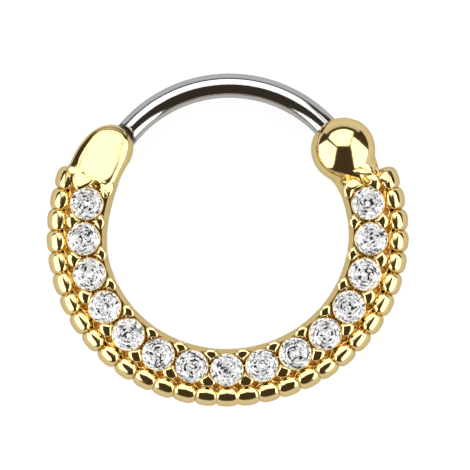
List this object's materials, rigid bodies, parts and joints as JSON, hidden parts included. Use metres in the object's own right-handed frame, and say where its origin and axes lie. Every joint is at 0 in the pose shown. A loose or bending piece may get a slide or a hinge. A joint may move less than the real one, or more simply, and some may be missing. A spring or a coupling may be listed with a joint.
{
  "type": "septum clicker ring",
  "caption": "Hinged septum ring: a gold coloured front with a row of round stones and a lobed edge, closed by a steel bar that swings on a pin.",
  "frame": {"origin": "middle of the ring's outline, on the surface that its flat back lies on", "axes": "+Z out of the stones' side, away from the flat back; +Y towards the bar; +X from the hinge to the catch ball"},
  "size_m": [0.0178, 0.0164, 0.003],
  "materials": {
    "gold_plate": "polished gold plating",
    "steel": "polished",
    "crystal": "clear, faceted"
  },
  "bodies": {
    "front": {"setting": "gold_plate", "hinge_pin": "steel", "stone_01": "crystal", "stone_02": "crystal", "stone_03": "crystal", "stone_04": "crystal", "stone_05": "crystal", "stone_06": "crystal", "stone_07": "crystal", "stone_08": "crystal", "stone_09": "crystal", "stone_10": "crystal", "stone_11": "crystal", "stone_12": "crystal", "stone_13": "crystal", "stone_14": "crystal", "stone_15": "crystal"},
    "bar": {"bar": "steel"}
  },
  "joints": [
    {"name": "bar_hinge", "type": "hinge", "parent": "front", "child": "bar", "pos_m": [-0.00591, 0.00439, 0.00145], "axis": [0, 0, 1], "range_deg": [0, 55]}
  ]
}
